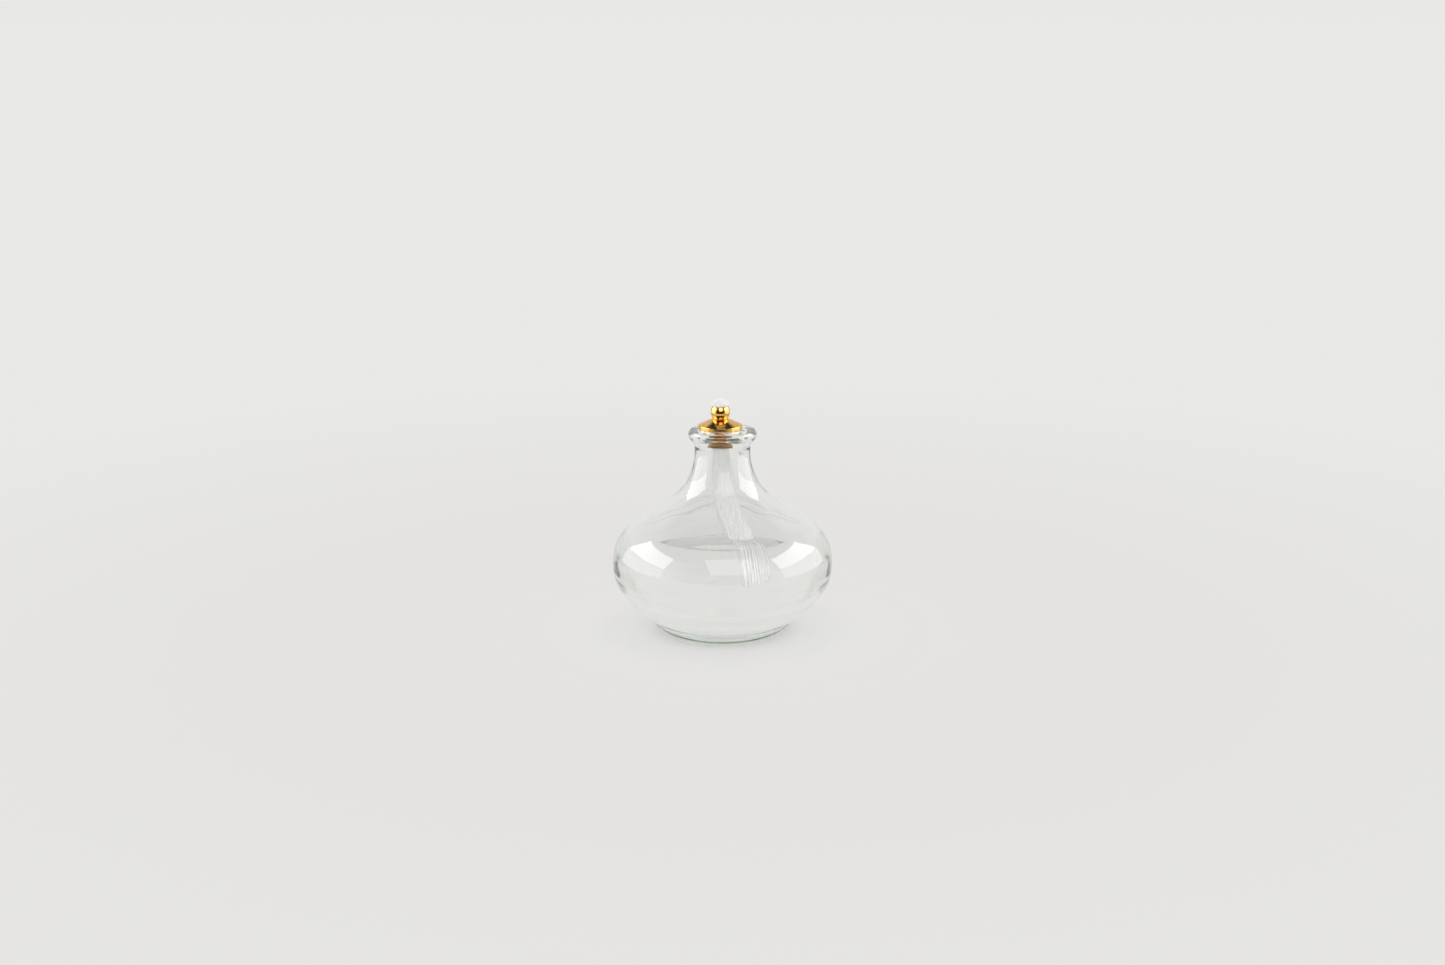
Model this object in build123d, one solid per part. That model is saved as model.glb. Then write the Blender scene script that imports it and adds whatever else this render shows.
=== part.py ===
"""Refillable glass oil lamp: an onion-shaped bottle, a small turned brass wick holder and a glass-fibre wick.

Millimetres, +Z up. The origin is the middle of the bottle's foot, on the surface that the lamp stands on.
"""
from build123d import *
import math
import os

# ---- driving dimensions: bottle ----
BELLY_R = 48.0  # widest radius
BELLY_Z = 30.5  # its height
FOOT_R = 26.6  # radius that stands on the table
FOOT_TOP_R = 29.9  # the foot widens upwards to this
FOOT_TOP_Z = 3.4
FOOT_HOLLOW_R = 19.0  # shallow hollow under the foot
FOOT_HOLLOW = 1.6
FLOOR_Z = 6.4  # inside floor, in the middle
NECK_R = 12.05
NECK_Z = 80.0
BORE_R = 8.8  # inside the neck
THROAT_R = 10.5  # the bore follows the flare of the lip
THROAT_Z = 86.0
LIP_R = 14.8
LIP_Z = 87.2  # height of the lip's widest ring
SEAT_Z = 89.6  # flat crest that the cover rests on
SEAT_IN = 8.2  # the fire-polished mouth closes in a little
SEAT_OUT = 10.4

# ---- driving dimensions: brass wick holder, which sits a little to one side in the mouth ----
HOLDER_X = -0.95
COVER_R = 9.6
COVER_RIM = 1.6  # height of the straight rim
COVER_TOP_R = 3.2
COVER_TOP_Z = 94.0
SHEET = 0.8  # thickness of the spun cone
BALL_R = 4.2
BALL_Z = 96.75
BALL_CUT_Z = 99.3  # the ball is cut flat here
STEM_R = 2.7
STEM_BORE_R = 2.2
STEM_TOP_Z = 95.9
COLLAR_BOTTOM_Z = 83.6
COLLAR_TOP_Z = 86.4
COLLAR_R = 4.9
COLLAR_FLANGE_R = 5.5
COLLAR_FLANGE = 0.9
FIT = 0.02  # radial running clearance between the brass pieces

# ---- driving dimensions: wick ----
WICK_R = 3.7  # where it hangs free
WICK_CORE_R = 2.15  # where the stem squeezes it
TUFT_R = 3.3
TUFT_TOP_Z = 102.7
# the hanging part's route from the collar down: sideways and forwards from the holder's axis, and height
WICK_ROUTE = [
    (0.0, 0.0, 83.4),
    (0.2, 0.1, 77.0),
    (0.6, -0.6, 69.0),
    (1.5, -2.8, 61.4),
    (3.3, -6.5, 54.4),
    (6.1, -11.0, 47.8),
    (9.5, -15.4, 41.6),
    (11.9, -19.0, 34.8),
    (13.0, -21.2, 27.4),
]


def section(*edges):
    """The face inside a closed outline of edges drawn as (radius, height)."""
    return Plane.XZ * make_face(Wire(edges))


def turned(*edges):
    """The solid that the outline makes when it turns about the lamp's axis."""
    return revolve(section(*edges), Axis.Z)


def ring(inner, outer, bottom, top):
    """A plain tube about the lamp's axis."""
    return turned(*Polyline((inner, bottom), (outer, bottom), (outer, top), (inner, top), (inner, bottom)).edges())


def at_holder(solid):
    """Moves a piece from the lamp's axis to the wick holder's."""
    return Pos(HOLDER_X, 0, 0) * solid


def glass_bottle():
    """Foot, bulb, shoulder, neck and lip in one wall of glass, about 3 mm thick and thicker at the floor."""
    foot = Polyline(
        (0, FOOT_HOLLOW),
        (FOOT_HOLLOW_R, FOOT_HOLLOW),
        (FOOT_HOLLOW_R + 1.4, 0),
        (FOOT_R - 0.4, 0),
        (FOOT_R, 0.4),
        (FOOT_TOP_R, FOOT_TOP_Z),
        (FOOT_TOP_R, FOOT_TOP_Z + 0.7),
        (FOOT_TOP_R - 0.5, FOOT_TOP_Z + 1.3),
    )
    outside = Spline(
        [
            (FOOT_TOP_R - 0.5, FOOT_TOP_Z + 1.3),
            (35.2, 8.0),
            (43.2, 16.0),
            (BELLY_R, BELLY_Z),
            (45.7, 40.0),
            (38.1, 48.0),
            (26.1, 56.0),
            (17.1, 64.0),
            (13.2, 72.0),
            (NECK_R, NECK_Z),
        ],
        tangents=[(2.2, 1.1), (0, 1)],
    )
    flare = Spline([(NECK_R, NECK_Z), (NECK_R + 0.3, 82.5), (13.9, 84.6), (LIP_R, LIP_Z)], tangents=[(0, 1), (0, 1)])
    lip = Spline([(LIP_R, LIP_Z), (14.2, 88.7), (12.9, 89.3), (SEAT_OUT, SEAT_Z)], tangents=[(0, 1), (-1, 0)])
    seat = Line((SEAT_OUT, SEAT_Z), (SEAT_IN + 0.6, SEAT_Z))
    mouth = Spline([(SEAT_IN + 0.6, SEAT_Z), (SEAT_IN, 88.9), (THROAT_R, THROAT_Z)], tangents=[(-1, 0), (0, -1)])
    throat = Spline([(THROAT_R, THROAT_Z), (9.4, 82.8), (BORE_R, 79.5)], tangents=[(0, -1), (0, -1)])
    inside = Spline(
        [
            (BORE_R, 79.5),
            (9.9, 71.1),
            (14.2, 61.7),
            (24.1, 53.0),
            (36.1, 45.4),
            (43.0, 38.4),
            (BELLY_R - 3.0, BELLY_Z),
            (42.6, 20.5),
            (36.0, 13.2),
            (24.0, 7.6),
            (0, FLOOR_Z),
        ],
        tangents=[(0, -1), (-1, 0)],
    )
    axis = Line((0, FLOOR_Z), (0, FOOT_HOLLOW))
    return turned(*foot.edges(), outside, flare, lip, seat, mouth, throat, inside, axis)


def cover_cone():
    """Spun brass cone: its straight rim rests on the lip, and the stem passes through its top."""
    outer_top = COVER_TOP_Z
    rim_top = SEAT_Z + COVER_RIM
    outline = Polyline(
        (COVER_R, SEAT_Z),
        (COVER_R, rim_top),
        (COVER_TOP_R, outer_top),
        (STEM_R + FIT, outer_top),
        (STEM_R + FIT, outer_top - SHEET),
        (COVER_TOP_R, outer_top - SHEET),
        (COVER_R - SHEET, rim_top - SHEET / 2),
        (COVER_R - SHEET, SEAT_Z),
        (COVER_R, SEAT_Z),
    )
    return at_holder(turned(*outline.edges()))


def ball_tip():
    """Polished ball, cut flat on top and where it stands on the cone. The stem screws up into it."""
    foot_r = math.sqrt(BALL_R**2 - (BALL_Z - COVER_TOP_Z) ** 2)
    cut_r = math.sqrt(BALL_R**2 - (BALL_CUT_Z - BALL_Z) ** 2)
    profile = [
        Line((STEM_R + FIT, COVER_TOP_Z), (foot_r, COVER_TOP_Z)),
        ThreePointArc((foot_r, COVER_TOP_Z), (BALL_R, BALL_Z), (cut_r, BALL_CUT_Z)),
        *Polyline(
            (cut_r, BALL_CUT_Z),
            (STEM_BORE_R, BALL_CUT_Z),
            (STEM_BORE_R, STEM_TOP_Z + FIT),
            (STEM_R + FIT, STEM_TOP_Z + FIT),
            (STEM_R + FIT, COVER_TOP_Z),
        ).edges(),
    ]
    return at_holder(turned(*profile))


def wick_stem():
    """Brass tube that holds the wick, from the ball down through the cone to the collar."""
    return at_holder(ring(STEM_BORE_R, STEM_R, COLLAR_BOTTOM_Z, STEM_TOP_Z))


def collar_nut():
    """Ring with a thin flange on the stem's lower end, which keeps the holder upright in the mouth."""
    flange_top = COLLAR_BOTTOM_Z + COLLAR_FLANGE
    outline = Polyline(
        (STEM_R + FIT, COLLAR_BOTTOM_Z),
        (COLLAR_FLANGE_R, COLLAR_BOTTOM_Z),
        (COLLAR_FLANGE_R, flange_top - 0.3),
        (COLLAR_R, flange_top),
        (COLLAR_R, COLLAR_TOP_Z - 0.4),
        (COLLAR_R - 0.4, COLLAR_TOP_Z),
        (STEM_R + FIT, COLLAR_TOP_Z),
        (STEM_R + FIT, COLLAR_BOTTOM_Z),
    )
    return at_holder(turned(*outline.edges()))


def wick_core(bottom, top):
    """The wick where the stem and the ball squeeze it."""
    return Pos(0, 0, bottom) * Cylinder(WICK_CORE_R, top - bottom, align=(Align.CENTER, Align.CENTER, Align.MIN))


def hanging_wick():
    """The free part of the wick: a tube on straight runs joined by arcs as large as the runs allow."""
    points = [Vector(HOLDER_X + x, y, z) for x, y, z in WICK_ROUTE]
    runs = [b - a for a, b in zip(points, points[1:])]
    radii = []
    for before, after in zip(runs, runs[1:]):
        half_turn = math.radians(before.get_angle(after)) / 2
        radii.append(0.45 * min(before.length, after.length) / math.tan(half_turn))
    print("wick arc radii:", ", ".join(f"{radius:.0f}" for radius in radii))
    path = FilletPolyline(*points, radius=radii)
    start = Plane(origin=path @ 0, z_dir=path % 0)
    tube = sweep(start * Circle(WICK_R), path=path)
    expected = math.pi * WICK_R**2 * path.length
    print(f"wick hangs {path.length:.1f} mm, volume {tube.volume:.0f}, section times length {expected:.0f}")
    return tube


def wick():
    """Tuft above the ball, core in the stem and hanging rope, as one soft piece."""
    tuft_z = BALL_CUT_Z + 0.1
    core = wick_core(COLLAR_BOTTOM_Z - 1.0, tuft_z)
    tuft_outline = [
        Line((0, tuft_z), (WICK_CORE_R, tuft_z)),
        Spline([(WICK_CORE_R, tuft_z), (TUFT_R, 100.8), (2.0, 102.3), (0, TUFT_TOP_Z)], tangents=[(1, 1), (-1, 0)]),
        Line((0, TUFT_TOP_Z), (0, tuft_z)),
    ]
    upper = at_holder(core + turned(*tuft_outline))
    return upper + hanging_wick()


PIECES = {
    "glass_bottle": glass_bottle,
    "cover_cone": cover_cone,
    "ball_tip": ball_tip,
    "wick_stem": wick_stem,
    "collar_nut": collar_nut,
    "wick": wick,
}


def main():
    os.makedirs("parts", exist_ok=True)
    for name, make in PIECES.items():
        solid = make()
        solid.label = name
        export_step(solid, f"parts/{name}.step")
        print(f"{name}: {solid.volume / 1000:.2f} cm3")


main()
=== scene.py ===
# %% [markdown]
# # A refillable glass oil lamp
#
# The lamp is a squat, onion-shaped bottle of clear glass. A small turned brass holder sits in its mouth,
# and a round wick of white glass fibre runs through the holder down into the fuel. Almost everything here
# is seen through glass, so the work is in smooth walls, true thickness and a liquid that touches its wall.
#
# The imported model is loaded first. It fixes every size and place, and the pieces made here follow it.

# %% Load the frame
import math
import random

import bmesh
import bpy
from mathutils import Matrix, Vector, noise


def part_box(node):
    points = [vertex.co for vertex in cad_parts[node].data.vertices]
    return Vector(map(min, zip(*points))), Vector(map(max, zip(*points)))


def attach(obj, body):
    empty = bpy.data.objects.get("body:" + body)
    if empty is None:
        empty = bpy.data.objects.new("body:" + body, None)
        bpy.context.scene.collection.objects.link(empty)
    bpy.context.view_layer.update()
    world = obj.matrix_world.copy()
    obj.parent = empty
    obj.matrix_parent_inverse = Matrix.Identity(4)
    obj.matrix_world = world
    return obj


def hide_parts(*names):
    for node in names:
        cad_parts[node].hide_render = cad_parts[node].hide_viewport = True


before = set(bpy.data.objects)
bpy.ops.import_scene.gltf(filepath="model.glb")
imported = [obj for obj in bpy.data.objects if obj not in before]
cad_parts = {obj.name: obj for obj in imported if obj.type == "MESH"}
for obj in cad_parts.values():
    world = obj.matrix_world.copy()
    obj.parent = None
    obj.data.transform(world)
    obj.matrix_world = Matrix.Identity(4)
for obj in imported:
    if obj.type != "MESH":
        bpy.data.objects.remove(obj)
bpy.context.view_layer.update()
MM = 0.001

# %% [markdown]
# ## Places read from the frame
#
# Heights and radii come from the nodes' boxes, so that a change in the CAD model moves the looks with it.
# The holder stands a little to one side, because its collar is loose in the bottle's neck.

# %% Places
glass_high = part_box("glass_bottle")[1]
cover_low, cover_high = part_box("cover_cone")
ball_low, ball_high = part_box("ball_tip")
stem_low, stem_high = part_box("wick_stem")
collar_low, collar_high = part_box("collar_nut")
wick_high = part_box("wick")[1]

HOLDER = (cover_low.x + cover_high.x) / 2
COVER_R = (cover_high.x - cover_low.x) / 2
BALL_R = (ball_high.x - ball_low.x) / 2
STEM_R = (stem_high.x - stem_low.x) / 2
COLLAR_R = (collar_high.x - collar_low.x) / 2
print(f"belly {glass_high.x / MM:.1f}, seat {glass_high.z / MM:.1f}, holder at x {HOLDER / MM:.2f}")

# %% [markdown]
# ## Camera
#
# The camera looks a little down on the lamp, from about 85 cm away with a normal lens. Seen from there, the
# foot's ellipse is clearly rounder than the cover's, which is what tells the eye that the lamp is small.

# %% Camera
CAMERA_AWAY = 0.846
CAMERA_UP = 0.267
CAMERA_TILT = math.radians(13.4)
LENS = 49.83
BOUNCES = 24
GLOSSY_BOUNCES = 16

camera_data = bpy.data.cameras.new("camera")
camera_data.lens = LENS
camera_data.clip_start = 0.01
camera = bpy.data.objects.new("camera", camera_data)
camera.location = (0, -CAMERA_AWAY, CAMERA_UP)
camera.rotation_euler = (math.pi / 2 - CAMERA_TILT, 0, 0)
bpy.context.collection.objects.link(camera)
bpy.context.scene.camera = camera
bpy.context.scene.view_settings.view_transform = "Standard"

# Light is handed on many times inside the thick lip. With the usual few bounces it goes black.
bounces = bpy.context.scene.cycles
bounces.max_bounces = BOUNCES
bounces.glossy_bounces = GLOSSY_BOUNCES
bounces.transmission_bounces = BOUNCES
print("camera", tuple(camera.location))

# %% [markdown]
# ## A small language for shaders
#
# Node trees are written as expressions. `Flow` wraps a socket, and its operators add Math nodes. `Shade` is
# a tree under construction: its one method `node` adds any other node, with its settings first and then the
# values or links of its sockets.

# %% Shader helpers


class Flow:
    """One output socket, with arithmetic that adds Math nodes."""

    def __init__(self, shade, socket):
        self.shade = shade
        self.socket = socket

    def maths(self, operation, *values):
        sockets = dict(enumerate(values))
        return self.shade.node("ShaderNodeMath", {"operation": operation}, sockets)

    def __add__(self, other):
        return self.maths("ADD", self, other)

    def __sub__(self, other):
        return self.maths("SUBTRACT", self, other)

    def __mul__(self, other):
        return self.maths("MULTIPLY", self, other)

    def __rsub__(self, other):
        return self.maths("SUBTRACT", other, self)

    __radd__ = __add__
    __rmul__ = __mul__


class Shade:
    """A node tree being built, for a material or a world."""

    def __init__(self, owner):
        owner.use_nodes = True
        self.owner = owner
        self.tree = owner.node_tree
        self.tree.nodes.clear()

    def put(self, socket, value):
        if isinstance(value, Flow):
            self.tree.links.new(value.socket, socket)
        else:
            socket.default_value = value

    def node(self, kind, settings=None, sockets=None, out=0):
        made = self.tree.nodes.new(kind)
        for key, value in (settings or {}).items():
            if key == "stops":
                self.set_stops(made.color_ramp, value)
            else:
                setattr(made, key, value)
        for key, value in (sockets or {}).items():
            self.put(made.inputs[key], value)
        return Flow(self, made.outputs[out]) if made.outputs else None

    def set_stops(self, ramp, stops):
        while len(ramp.elements) < len(stops):
            ramp.elements.new(0.5)
        for element, (place, colour) in zip(ramp.elements, stops):
            element.position = place
            element.color = colour

    def mix(self, factor, first, second):
        return self.node("ShaderNodeMix", {"data_type": "RGBA"}, {0: factor, 6: first, 7: second}, out=2)

    def ramp(self, value, *stops):
        return self.node("ShaderNodeValToRGB", {"stops": stops}, {0: value})

    def noise(self, vector, scale, detail=2.0, roughness=0.5):
        sockets = {"Vector": vector, "Scale": scale, "Detail": detail, "Roughness": roughness}
        return self.node("ShaderNodeTexNoise", None, sockets)

    def place(self):
        """Object coordinates."""
        return self.node("ShaderNodeTexCoord", out=3)

    def part(self, vector, axis):
        """One component of a vector: 0, 1 or 2."""
        return self.node("ShaderNodeSeparateXYZ", None, {0: vector}, out=axis)

    def length(self, vector):
        return self.node("ShaderNodeVectorMath", {"operation": "LENGTH"}, {0: vector}, out=1)

    def bump(self, height, strength, distance):
        sockets = {"Height": height, "Strength": strength, "Distance": distance}
        return self.node("ShaderNodeBump", None, sockets)

    def finish(self, surface, volume=None):
        inside = {"Volume": volume} if volume else {}
        self.node("ShaderNodeOutputMaterial", None, {"Surface": surface, **inside})
        return self.owner


def material(name):
    return Shade(bpy.data.materials.new(name))


print("shader helpers ready")

# %% [markdown]
# ## The studio
#
# Glass and polished brass have no look of their own: they show the room. The room here is pale all round,
# with a dark ceiling and a dark side behind the camera, which give brass its brown and black. Through the
# glass the same places are only a little darker than the wall, because a thick wall of glass spreads what
# comes from there. Matt surfaces see an even room, so the ground stays plain.

# %% World
PALE = (0.81, 0.805, 0.80, 1.0)
BRIGHT = (1.12, 1.115, 1.11, 1.0)
DARK_IN_GLOSS = (0.04, 0.04, 0.042, 1.0)
DARK_THROUGH_GLASS = (0.62, 0.625, 0.62, 1.0)
CEILING_EDGE = (0.62, 0.76)  # sine of the height where the ceiling starts, and where it is fully dark
CEILING_THROUGH_GLASS = (-0.07, 0.09)  # what glass adds to those two
BEHIND_EDGE = (-0.45, -0.8)
CAMERA_RAY, TRANSMITTED, DIFFUSE_DEPTH = 0, 6, 10  # outputs of the Light Path node

world = bpy.data.worlds.new("studio")
bpy.context.scene.world = world
room = Shade(world)
direction = room.node("ShaderNodeTexCoord", out=0)
through = room.node("ShaderNodeLightPath", out=TRANSMITTED)
scattered = room.node("ShaderNodeLightPath", out=DIFFUSE_DEPTH)
start, full = (edge + through * more for edge, more in zip(CEILING_EDGE, CEILING_THROUGH_GLASS))
smooth = {"interpolation_type": "SMOOTHSTEP"}
overhead = room.node("ShaderNodeMapRange", smooth, {0: room.part(direction, 2), 1: start, 2: full})
behind = room.node(
    "ShaderNodeMapRange", smooth, {0: room.part(direction, 1), 1: BEHIND_EDGE[0], 2: BEHIND_EDGE[1]}
)
dark = room.mix(through, DARK_IN_GLOSS, DARK_THROUGH_GLASS)
seen = room.mix(overhead.maths("MAXIMUM", overhead, behind), PALE, dark)
seen = room.mix(scattered.maths("MINIMUM", scattered, 1.0), seen, BRIGHT)
light = room.mix(room.node("ShaderNodeLightPath", out=CAMERA_RAY), seen, PALE)
sky = room.node("ShaderNodeBackground", None, {"Color": light, "Strength": 1.0})
room.node("ShaderNodeOutputWorld", None, {"Surface": sky})
print("world ready")

# %% [markdown]
# ## Soft panels
#
# A tall soft light stands on each side of the lamp, and fades towards its foot. The two make the long white
# patches on the bulb and the gold streaks on the brass. A fainter one stands high in front. As lamps they
# would burn out the ground, so they are hidden from matt surfaces and seen only in gloss.

# %% Panels
SIDE = (0.42, 0.03)  # a side panel's distance from the lamp, sideways and to the back
UPPER_Z, UPPER_SIZE, UPPER_LIGHT = 0.33, (0.50, 0.28), 4.6
LOWER_Z, LOWER_SIZE, LOWER_LIGHT = 0.09, (0.50, 0.20), 1.5
FRONT, FRONT_SIZE, FRONT_LIGHT = Vector((0.0945, -0.673, 0.63)), (0.66, 0.69), 2.2
BOTTLE_MIDDLE = Vector((0, 0, 0.04))


def soft_panel(name, place, size, radiance):
    """A soft light that shows only in glossy surfaces."""
    data = bpy.data.lights.new(name, "AREA")
    data.shape = "RECTANGLE"
    data.size, data.size_y = size
    data.energy = math.pi * size[0] * size[1] * radiance
    panel = bpy.data.objects.new(name, data)
    panel.location = place
    panel.visible_camera = False
    panel.visible_diffuse = False
    panel.visible_transmission = False
    bpy.context.collection.objects.link(panel)
    return panel


for name, sign in (("left", -1), ("right", 1)):
    upper = soft_panel("panel_" + name, (sign * SIDE[0], SIDE[1], UPPER_Z), UPPER_SIZE, UPPER_LIGHT)
    lower = soft_panel("spill_" + name, (sign * SIDE[0], SIDE[1], LOWER_Z), LOWER_SIZE, LOWER_LIGHT)
    upper.rotation_euler = lower.rotation_euler = (math.pi / 2, 0, sign * math.pi / 2)
front = soft_panel("panel_front", FRONT, FRONT_SIZE, FRONT_LIGHT)
front.rotation_euler = (BOTTLE_MIDDLE - FRONT).to_track_quat("-Z", "Y").to_euler()
print("panels ready")

# %% [markdown]
# ## The ground
#
# A full bottle gathers light like a lens, and throws it on the ground round its own foot, so it hardly
# has a shadow. Few light paths find their way through it, so the ground makes up for them with a faint glow
# that fades outwards. The board's colour is also a little darker near the lamp, which is painted shade. Each
# pair below is a distance from the lamp's axis in metres, and the glow there.

# %% Floor
GATHERED = [
    (0.0, 0.22),
    (0.026, 0.28),
    (0.034, 0.35),
    (0.049, 0.21),
    (0.065, 0.12),
    (0.084, 0.06),
    (0.12, 0.02),
    (0.2, 0.0),
]
# painted shade: the board is a little darker near the lamp's axis than far from it
BOARD_SHADED_NEAR = (0.69, 0.685, 0.68, 1)
BOARD_FAR = (0.735, 0.735, 0.73, 1)
BOARD_HALF = 20.0
BOARD_FRONT = -0.36


def floor_material():
    shade = material("pale_board")
    place = shade.place()
    grain = shade.noise(place, 900.0, 4.0) * 0.05
    away = shade.length(place)
    colour = shade.ramp(away + grain, (0.05, BOARD_SHADED_NEAR), (0.6, BOARD_FAR))
    painted_glow = shade.ramp(away, *[(distance, (light, light, light, 1)) for distance, light in GATHERED])
    surface = shade.node(
        "ShaderNodeBsdfPrincipled",
        None,
        {
            "Base Color": colour,
            "Roughness": 1.0,
            "Specular IOR Level": 0.0,
            "Emission Color": painted_glow,
            "Emission Strength": 1.0,
        },
    )
    return shade.finish(surface)


def floor():
    """A wide board. It ends in front of the camera's view, so that the brass reflects the dark beyond it."""
    bm = bmesh.new()
    bmesh.ops.create_grid(bm, x_segments=1, y_segments=1, size=BOARD_HALF)
    bmesh.ops.translate(bm, verts=bm.verts, vec=(0, BOARD_HALF + BOARD_FRONT, 0))
    mesh = bpy.data.meshes.new("floor")
    bm.to_mesh(mesh)
    bm.free()
    ground = bpy.data.objects.new("floor", mesh)
    bpy.context.collection.objects.link(ground)
    mesh.materials.append(floor_material())
    return ground


floor()
print("floor ready")

# %% [markdown]
# ## Turned pieces
#
# The bottle and every brass piece are round, so each one is an outline spun about its axis. The outline is a
# short list of points, smoothed by a Bezier curve where the real surface flows, and left sharp where it is
# cut.

# %% Outline and spin helpers
SHARP = math.radians(25)


def flowing(points, resolution=12):
    """More points on the smooth curve through the given ones."""
    curve = bpy.data.curves.new("outline", "CURVE")
    curve.dimensions = "3D"
    curve.resolution_u = resolution
    spline = curve.splines.new("BEZIER")
    spline.bezier_points.add(len(points) - 1)
    for knot, (radius, height) in zip(spline.bezier_points, points):
        knot.co = (radius, 0, height)
        knot.handle_left_type = knot.handle_right_type = "AUTO"
    holder = bpy.data.objects.new("outline", curve)
    mesh = bpy.data.meshes.new_from_object(holder)
    found = [(v.co.x, v.co.z) for v in mesh.vertices]
    bpy.data.objects.remove(holder)
    bpy.data.curves.remove(curve)
    bpy.data.meshes.remove(mesh)
    return found


def spun(name, outline, steps=192, centre=0.0, edge=0.0):
    """A new object: a closed outline of (radius, height) in millimetres, turned about a vertical axis."""
    bm = bmesh.new()
    verts = [bm.verts.new((radius * MM, 0, height * MM)) for radius, height in outline]
    edges = [bm.edges.new(pair) for pair in zip(verts, verts[1:] + verts[:1])]
    bmesh.ops.spin(
        bm, geom=verts + edges, cent=(0, 0, 0), axis=(0, 0, 1), angle=2 * math.pi, steps=steps, use_merge=True
    )
    bmesh.ops.remove_doubles(bm, verts=bm.verts, dist=1e-6)
    bmesh.ops.dissolve_degenerate(bm, edges=bm.edges, dist=1e-6)
    bmesh.ops.recalc_face_normals(bm, faces=bm.faces)
    if edge:
        sharp = [e for e in bm.edges if e.calc_face_angle(0) > SHARP]
        bmesh.ops.bevel(
            bm, geom=sharp, offset=edge * MM, affect="EDGES", segments=3, profile=0.5, material=-1
        )
    bmesh.ops.translate(bm, verts=bm.verts, vec=(centre, 0, 0))
    for face in bm.faces:
        face.smooth = True
    mesh = bpy.data.meshes.new(name)
    bm.to_mesh(mesh)
    bm.free()
    piece = bpy.data.objects.new(name, mesh)
    bpy.context.collection.objects.link(piece)
    if edge:
        piece.modifiers.new("even_shading", "WEIGHTED_NORMAL")
    return piece


print("outline helpers ready")

# %% [markdown]
# ## Clear glass
#
# The bottle is blown and then fire-polished, so its surface is smooth but never quite even. A slow, faint
# noise in the normal gives the wavering edges that such glass has. Real soda glass is a little green where
# it is thick.

# %% Glass material
GREEN = (0.60, 0.70, 0.58, 1.0)
GREEN_PER_METRE = 12.0


def glass_material():
    shade = material("clear_glass")
    waves = shade.noise(shade.place(), 55.0, 1.0)
    surface = shade.node(
        "ShaderNodeBsdfPrincipled",
        None,
        {
            "Base Color": (0.99, 0.992, 0.988, 1.0),
            "Roughness": 0.0,
            "IOR": 1.5,
            "Transmission Weight": 1.0,
            "Normal": shade.bump(waves, 0.2, 0.0006),
        },
    )
    tint = shade.node("ShaderNodeVolumeAbsorption", None, {"Color": GREEN, "Density": GREEN_PER_METRE})
    return shade.finish(surface, tint)


clear_glass = glass_material()
print("material:", clear_glass.name)

# %% [markdown]
# ## The bottle
#
# One wall of glass makes the foot, bulb, shoulder, neck and lip. Its true thickness matters, because the
# bright and dark lines at the neck's sides are the inner wall seen through the outer one. So the outline
# goes up the outside and down the inside, and the spin makes both walls at once.

# %% Bottle
OUTSIDE = [
    (29.4, 4.7),
    (35.2, 8.0),
    (43.2, 16.0),
    (46.6, 22.0),
    (48.0, 30.5),
    (45.7, 40.0),
    (38.1, 48.0),
    (26.1, 56.0),
    (17.1, 64.0),
    (13.2, 72.0),
    (12.05, 80.0),
    (12.35, 82.5),
    (13.9, 84.6),
    (14.8, 87.2),
    (14.2, 88.7),
    (12.9, 89.3),
    (10.4, 89.6),
]
INSIDE = [
    (8.8, 89.6),
    (8.2, 88.9),
    (10.5, 86.0),
    (9.4, 82.8),
    (8.8, 79.5),
    (9.9, 71.1),
    (14.2, 61.7),
    (24.1, 53.0),
    (36.1, 45.4),
    (43.0, 38.4),
    (45.0, 30.5),
    (42.6, 20.5),
    (36.0, 13.2),
    (24.0, 7.6),
    (12.0, 6.5),
    (0.0, 6.4),
]
UNDER = [(0.0, 1.6), (19.0, 1.6), (20.4, 0.0), (26.2, 0.0), (26.6, 0.4), (29.9, 3.4), (29.9, 4.1)]


def glass_bottle():
    outline = UNDER + flowing(OUTSIDE) + flowing(INSIDE)
    piece = spun("bottle_glass", outline)
    piece.data.materials.append(clear_glass)
    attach(piece, "bottle")
    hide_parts("glass_bottle")
    return piece


bottle = glass_bottle()
print("bottle:", len(bottle.data.vertices), "vertices")

# %% [markdown]
# ## Seeds in the glass
#
# Hand-made glass holds a few tiny bubbles, called seeds. A bubble is a hole in the glass, so each one is a
# small ball turned inside out and added to the bottle's own mesh. Each row is a place and a radius in mm.

# %% Seeds
SEED_STRETCH = 1.6  # the glass was pulled upwards while it was soft
SEEDS = [
    (6.6, -8.2, 80.9, 0.28),
    (7.2, -7.8, 80.2, 0.42),
    (7.9, -7.2, 80.4, 0.22),
    (7.5, -7.4, 81.1, 0.16),
    (8.1, -6.8, 79.8, 0.2),
    (-6.0, 8.4, 77.0, 0.3),
    (31.0, 33.0, 31.0, 0.35),
]


def add_seeds(piece):
    bm = bmesh.new()
    bm.from_mesh(piece.data)
    for x, y, z, radius in SEEDS:
        place = Matrix.Translation(Vector((x, y, z)) * MM) @ Matrix.Diagonal((1.0, 1.0, SEED_STRETCH, 1.0))
        made = bmesh.ops.create_icosphere(bm, subdivisions=2, radius=radius * MM, matrix=place)
        faces = {face for vert in made["verts"] for face in vert.link_faces}
        bmesh.ops.reverse_faces(bm, faces=list(faces))
        for face in faces:
            face.smooth = True
    bm.to_mesh(piece.data)
    bm.free()


add_seeds(bottle)
print(len(SEEDS), "seeds")

# %% [markdown]
# ## The fuel
#
# The fuel is a clear liquid that touches the wall. If it stopped short of the glass, a film of air would
# show between them, so its outline is the inside wall pushed out a fifth of a millimetre. Its top is flat.

# %% Fuel
FUEL_Z = 44.6
FUEL_IN_WALL = 0.2
FUEL_FLAT = 1.5  # width of the top's outer ring


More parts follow.
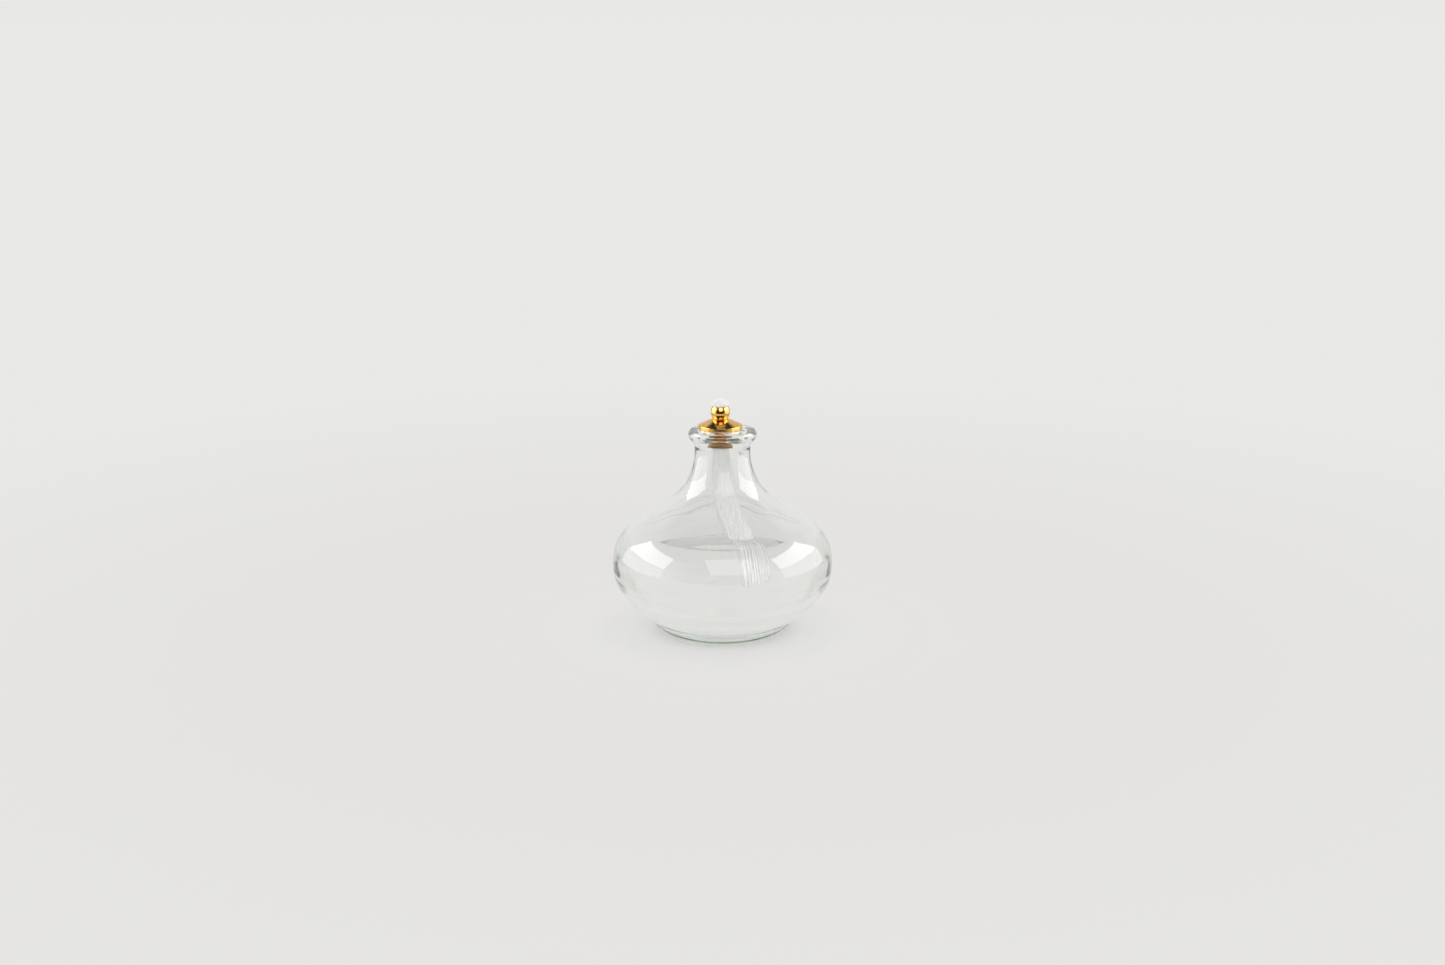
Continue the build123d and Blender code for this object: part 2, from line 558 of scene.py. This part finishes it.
def fuel_material():
    shade = material("lamp_fuel")
    surface = shade.node(
        "ShaderNodeBsdfPrincipled",
        None,
        {"Base Color": (1.0, 1.0, 0.995, 1.0), "Roughness": 0.0, "IOR": 1.44, "Transmission Weight": 1.0},
    )
    return shade.finish(surface)


def fuel():
    wall = [(radius, height) for radius, height in flowing(INSIDE) if height < FUEL_Z + FUEL_IN_WALL]
    grown = [(radius + FUEL_IN_WALL if radius > 0 else 0.0, height - FUEL_IN_WALL) for radius, height in wall]
    edge = grown[0][0]
    piece = spun("fuel", [(0.0, FUEL_Z), (edge - FUEL_FLAT, FUEL_Z)] + grown)
    piece.data.materials.append(fuel_material())
    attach(piece, "bottle")
    return piece


liquid = fuel()
print("fuel:", len(liquid.data.vertices), "vertices")

# %% [markdown]
# ## Brass
#
# Three finishes of one metal. The ball is polished, so it shows the room sharply. The collar's brass is
# painted darker, a painted shade in place of the dark reflections it shows, with tarnish patches of its own.
# The cone and the stem were brushed while they turned, which leaves fine grooves in circles about their axis:
# a highlight on the cone spreads into a fan. The grooves are noise that depends only on the distance from the
# axis and the height, and a constant anisotropy does the spreading.

# %% Brass materials
GROOVES_PER_METRE = 7000.0
GROOVE_SLANT = 0.6
GOLD = (0.83, 0.49, 0.14, 1.0)
TARNISHED = (0.55, 0.27, 0.06, 1.0)
# painted shade: the collar's brass is darker overall in place of dark reflections; the dull colour is its
# tarnish patches
SHADE_DARK_GOLD = (0.50, 0.24, 0.05, 1.0)
SHADE_DARK_TARNISH = (0.22, 0.09, 0.015, 1.0)


def brass(name, colour, dull, roughness, grooves, anisotropy):
    """Turned brass, with grooves about the holder's axis and faint tarnish."""
    shade = material(name)
    place = shade.place()
    centred = shade.node("ShaderNodeMapping", None, {"Vector": place, "Location": (-HOLDER, 0, 0)})
    flat = shade.node("ShaderNodeVectorMath", {"operation": "MULTIPLY"}, {0: centred, 1: (1, 1, 0)})
    across = (shade.length(flat) - shade.part(place, 2) * GROOVE_SLANT) * GROOVES_PER_METRE
    along_line = {"W": across, "Scale": 1.0, "Detail": 3.0}
    lines = shade.node("ShaderNodeTexNoise", {"noise_dimensions": "1D"}, along_line)
    tarnish = shade.noise(place, 260.0, 4.0)
    mask = (tarnish - 0.42) * 1.8
    base = shade.mix(mask.maths("MAXIMUM", mask, 0.0), colour, dull)
    surface = shade.node(
        "ShaderNodeBsdfPrincipled",
        None,
        {
            "Base Color": base,
            "Metallic": 1.0,
            "Roughness": lines * 0.08 + tarnish * 0.05 + roughness,
            "Anisotropic": anisotropy,
            "Anisotropic Rotation": 0.25,
            "Normal": shade.bump(lines, grooves, 0.00003),
        },
    )
    return shade.finish(surface)


polished_brass = brass("polished_brass", GOLD, TARNISHED, 0.0, 0.04, 0.0)
brushed_brass = brass("brushed_brass", GOLD, TARNISHED, 0.04, 0.12, 0.85)
# the collar's brass, painted darker as shade
shade_darkened_brass = brass("shade_darkened_brass", SHADE_DARK_GOLD, SHADE_DARK_TARNISH, 0.08, 0.2, 0.5)
print("materials:", polished_brass.name, brushed_brass.name, shade_darkened_brass.name)

# %% [markdown]
# ## The wick holder
#
# Cone, ball, stem and collar are turned on a lathe. Each is an outline spun about the holder's axis, with
# its edges broken by a small bevel, because a turned edge is never knife-sharp and the bevel catches light.

# %% Cover cone
SHEET = 0.8
COVER_RIM = 1.6
COVER_TOP_R = 3.2
FIT = 0.02


def turned_brass(name, outline, edge, metal, node):
    piece = spun(name, outline, 160, HOLDER, edge)
    piece.data.materials.append(metal)
    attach(piece, "wick_holder")
    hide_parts(node)
    print(name, len(piece.data.vertices), "vertices")
    return piece


def cover_cone():
    bottom = cover_low.z / MM
    top = cover_high.z / MM
    rim = COVER_R / MM
    bore = STEM_R / MM + FIT
    outline = [
        (rim, bottom),
        (rim, bottom + COVER_RIM),
        (COVER_TOP_R, top),
        (bore, top),
        (bore, top - SHEET),
        (COVER_TOP_R, top - SHEET),
        (rim - SHEET, bottom + COVER_RIM - SHEET / 2),
        (rim - SHEET, bottom),
    ]
    return turned_brass("cover", outline, 0.16, brushed_brass, "cover_cone")


cover_cone()

# %% [markdown]
# The ball is one arc from where it stands on the cone to its flat cut, with the wick's hole through it.

# %% Ball tip
STEM_BORE_R = 2.2
BALL_OVER_FOOT = 2.75  # the ball's middle above the cone
BALL_STEPS = 28


def ball_tip():
    bottom = ball_low.z / MM
    cut = ball_high.z / MM
    ball = BALL_R / MM
    middle = bottom + BALL_OVER_FOOT
    start = -math.asin(BALL_OVER_FOOT / ball)
    stop = math.asin((cut - middle) / ball)
    turns = [start + (stop - start) * step / BALL_STEPS for step in range(BALL_STEPS + 1)]
    sphere = [(ball * math.cos(turn), middle + ball * math.sin(turn)) for turn in turns]
    seat = stem_high.z / MM + FIT
    bore = STEM_R / MM + FIT
    outline = [(bore, bottom)] + sphere + [(STEM_BORE_R, cut), (STEM_BORE_R, seat), (bore, seat)]
    return turned_brass("ball", outline, 0.1, polished_brass, "ball_tip")


ball_tip()

# %% [markdown]
# The stem is a plain tube from the ball down to the collar, which has a thin flange at its lower end.

# %% Stem and collar
COLLAR_BODY_R = 4.9
COLLAR_FLANGE = 0.9


def wick_stem():
    bottom = stem_low.z / MM
    top = stem_high.z / MM
    outside = STEM_R / MM
    outline = [(STEM_BORE_R, bottom), (outside, bottom), (outside, top), (STEM_BORE_R, top)]
    return turned_brass("stem", outline, 0.1, brushed_brass, "wick_stem")


def collar_nut():
    bottom = collar_low.z / MM
    top = collar_high.z / MM
    flange = COLLAR_R / MM
    bore = STEM_R / MM + FIT
    outline = [
        (bore, bottom),
        (flange, bottom),
        (flange, bottom + COLLAR_FLANGE - 0.3),
        (COLLAR_BODY_R, bottom + COLLAR_FLANGE),
        (COLLAR_BODY_R, top - 0.4),
        (COLLAR_BODY_R - 0.4, top),
        (bore, top),
    ]
    return turned_brass("collar", outline, 0.12, shade_darkened_brass, "collar_nut")


wick_stem()
collar_nut()

# %% [markdown]
# ## Glass fibre
#
# A glass-fibre wick is white because light scatters among thousands of clear threads. The threads here are
# fewer and thicker, so the material adds a soft sheen and a fine streak along the length, and painted light:
# a faint glow, stronger in the fuel where the wick would show darker. Each pair is a height in metres and the
# glow there.

# %% Fibre material
# heights and strengths of the painted glow on the wick
PAINTED_GLOW_LOW = (0.030, 0.24)
PAINTED_GLOW_HIGH = (0.083, 0.05)


def fibre_material():
    shade = material("glass_fibre")
    place = shade.place()
    drawn = shade.node("ShaderNodeMapping", None, {"Vector": place, "Scale": (1.0, 1.0, 0.08)})
    streak = shade.noise(drawn, 2600.0, 2.0)
    colour = shade.ramp(streak, (0.3, (0.86, 0.86, 0.85, 1)), (0.6, (0.98, 0.98, 0.98, 1)))
    span = {0: shade.part(place, 2), 1: PAINTED_GLOW_LOW[0], 2: PAINTED_GLOW_HIGH[0], 3: PAINTED_GLOW_LOW[1], 4: PAINTED_GLOW_HIGH[1]}
    painted_glow = shade.node("ShaderNodeMapRange", None, span)
    surface = shade.node(
        "ShaderNodeBsdfPrincipled",
        None,
        {
            "Base Color": colour,
            "Roughness": streak * 0.2 + 0.4,
            "Sheen Weight": 0.4,
            "Sheen Roughness": 0.4,
            # painted light: the wick glows though it is no lamp, most strongly low in the fuel
            "Emission Color": painted_glow,
            "Emission Strength": 1.0,
            "Normal": shade.bump(streak, 0.4, 0.00004),
        },
    )
    return shade.finish(surface)


glass_fibre = fibre_material()
print("material:", glass_fibre.name)

# %% [markdown]
# ## The wick's route
#
# The wick leaves the stem straight down and is a little too long for the bottle, so it leans over and its
# end lies near the floor. Its centreline is one smooth NURBS curve, and every strand follows points read
# from that curve.

# %% Route
ROUTE_STEPS = 6
WICK_ROUTE = [
    (0.0, 0.0, 0.0834),
    (0.0002, 0.0001, 0.0770),
    (0.0006, -0.0006, 0.0690),
    (0.0015, -0.0028, 0.0614),
    (0.0033, -0.0065, 0.0544),
    (0.0061, -0.0110, 0.0478),
    (0.0095, -0.0154, 0.0416),
    (0.0119, -0.0190, 0.0348),
    (0.0130, -0.0212, 0.0274),
]


def route_points():
    curve = bpy.data.curves.new("route", "CURVE")
    curve.dimensions = "3D"
    curve.resolution_u = ROUTE_STEPS
    spline = curve.splines.new("NURBS")
    spline.points.add(len(WICK_ROUTE) - 1)
    for point, (x, y, z) in zip(spline.points, WICK_ROUTE):
        point.co = (HOLDER + x, y, z, 1)
    spline.order_u = 3
    spline.use_endpoint_u = True
    holder = bpy.data.objects.new("route", curve)
    mesh = bpy.data.meshes.new_from_object(holder)
    points = [vert.co.copy() for vert in mesh.vertices]
    bpy.data.objects.remove(holder)
    bpy.data.curves.remove(curve)
    bpy.data.meshes.remove(mesh)
    return points


route = route_points()

# %% [markdown]
# ## Strands
#
# A strand is a thin tube along its own wandering line. One curve object with a round bevel draws all of
# them, and is then turned into a mesh. Strands start at even spots of a disc: each is a golden angle on
# from the last, and further out by the root of its number.

# %% Strand helpers
GOLDEN_ANGLE = 2.399963
SEED_STEPS = (7.3, 1.7)  # how far apart two strands' drifts lie in the noise


def tubes(name, lines, body, sides=2):
    """One mesh of tubes. Each line is a list of (point, radius)."""
    curve = bpy.data.curves.new(name, "CURVE")
    curve.dimensions = "3D"
    curve.bevel_depth = 1.0
    curve.bevel_resolution = sides
    curve.use_fill_caps = True
    for line in lines:
        spline = curve.splines.new("POLY")
        spline.points.add(len(line) - 1)
        for point, (place, radius) in zip(spline.points, line):
            point.co = (*place, 1)
            point.radius = radius
    holder = bpy.data.objects.new(name, curve)
    mesh = bpy.data.meshes.new_from_object(holder)
    bpy.data.objects.remove(holder)
    bpy.data.curves.remove(curve)
    mesh.name = name
    bm = bmesh.new()
    bm.from_mesh(mesh)
    bmesh.ops.recalc_face_normals(bm, faces=bm.faces)
    for face in bm.faces:
        face.smooth = True
    bm.to_mesh(mesh)
    bm.free()
    mesh.materials.clear()
    mesh.materials.append(glass_fibre)
    piece = bpy.data.objects.new(name, mesh)
    bpy.context.collection.objects.link(piece)
    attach(piece, body)
    print(name, len(mesh.vertices), "vertices")
    return piece


noise.seed_set(5)  # left alone, this noise differs from run to run


def wander(seed, along, size):
    """A smooth sideways drift that differs for each seed."""
    return noise.noise_vector(Vector((seed * SEED_STEPS[0], along, seed * SEED_STEPS[1]))) * size


print("strand helpers ready")

# %% [markdown]
# ## The hanging wick
#
# The stem squeezes the rope to its thinnest. Below it the plies loosen and open, and at the cut end they
# fray. Strands are spread evenly over the rope's round section, and twist about its middle as they fall.

# %% Hanging wick
STRANDS = 230
STRAND_R = 0.44 * MM
ROPE_TOP_R, ROPE_OPENS, ROPE_FRAYS = 3.1, 2.1, 0.5
OPEN_BY, FRAY_FROM, THIN_FROM = 0.45, 0.6, 0.85  # places along the wick, from 0 to 1
TWIST = 1.1
DRIFT = 0.8 * MM
ENDS_APART = 3  # how many route steps the cut ends differ by
BACK = Vector((0, 1, 0))
chance = random.Random(5)


def rope_radius(along):
    """Half the rope's width, from the stem (0) to its cut end (1)."""
    opened = min(1.0, along / OPEN_BY) ** 1.2
    return (ROPE_TOP_R + ROPE_OPENS * opened + ROPE_FRAYS * max(0.0, along - FRAY_FROM)) * MM


def hanging_strand(number):
    reach = math.sqrt((number + 0.5) / STRANDS)
    start = number * GOLDEN_ANGLE
    stop = len(route) - (0 if number % 3 == 0 else chance.randrange(ENDS_APART))
    line = []
    for index, centre in enumerate(route[:stop]):
        along = index / (len(route) - 1)
        ahead = route[min(index + 1, len(route) - 1)] - route[max(index - 1, 0)]
        sideways = BACK.cross(ahead).normalized()
        turn = start + TWIST * along
        spread = reach * rope_radius(along)
        offset = sideways * math.cos(turn) * spread + BACK * math.sin(turn) * spread
        drift = wander(number, along * 4, DRIFT * min(1.0, 3 * along))
        thin = 1.0 - 0.6 * max(0.0, along - THIN_FROM) / (1.0 - THIN_FROM)
        line.append((centre + offset + drift, STRAND_R * thin))
    return line


hanging = tubes("wick_rope", [hanging_strand(number) for number in range(STRANDS)], "wick_rope")

# %% [markdown]
# ## Core and tuft
#
# Inside the stem the wick is a tight round core. Above the ball it opens at once into a small white tuft,
# because the cut threads spring apart. The tuft is many fine fibres that leave the hole upwards and bend
# outwards.

# %% Core and tuft
CORE_R = 2.15 * MM
TUFT_FIBRES = 900
TUFT_FIBRE_R = 0.1 * MM
TUFT_STEPS = 6
TUFT_SPREAD = 1.6 * MM
TUFT_DRIFT = 0.6 * MM
ROOT_DEPTH = 0.6 * MM


def core_line():
    bottom = Vector((HOLDER, 0, collar_low.z - 0.5 * MM))
    top = Vector((HOLDER, 0, ball_high.z + 0.2 * MM))
    return [(bottom, CORE_R), (bottom.lerp(top, 0.5), CORE_R), (top, CORE_R * 0.98)]


def tuft_fibre(number):
    turn = number * GOLDEN_ANGLE
    reach = math.sqrt((number + 0.5) / TUFT_FIBRES)
    out = Vector((math.cos(turn), math.sin(turn), 0))
    root = Vector((HOLDER, 0, ball_high.z - ROOT_DEPTH)) + out * reach * CORE_R * 0.95
    room_up = wick_high.z - ball_high.z + 0.4 * MM
    tall = room_up * (1.0 - 0.42 * reach**3) * chance.uniform(0.72, 1.0)
    wide = reach * chance.uniform(0.7, 1.3) * TUFT_SPREAD
    line = []
    for step in range(TUFT_STEPS + 1):
        along = step / TUFT_STEPS
        bend = out * wide * math.sin(2.2 * along)
        drift = wander(number, along * 3, TUFT_DRIFT * along)
        point = root + Vector((0, 0, tall * along)) + bend + drift
        line.append((point, TUFT_FIBRE_R * (1 - 0.45 * along)))
    return line


core = tubes("wick_core", [core_line()], "wick_rope", 6)
tuft = tubes("wick_tuft", [tuft_fibre(number) for number in range(TUFT_FIBRES)], "wick_rope", 1)
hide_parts("wick")
print(TUFT_FIBRES, "fibres in the tuft")
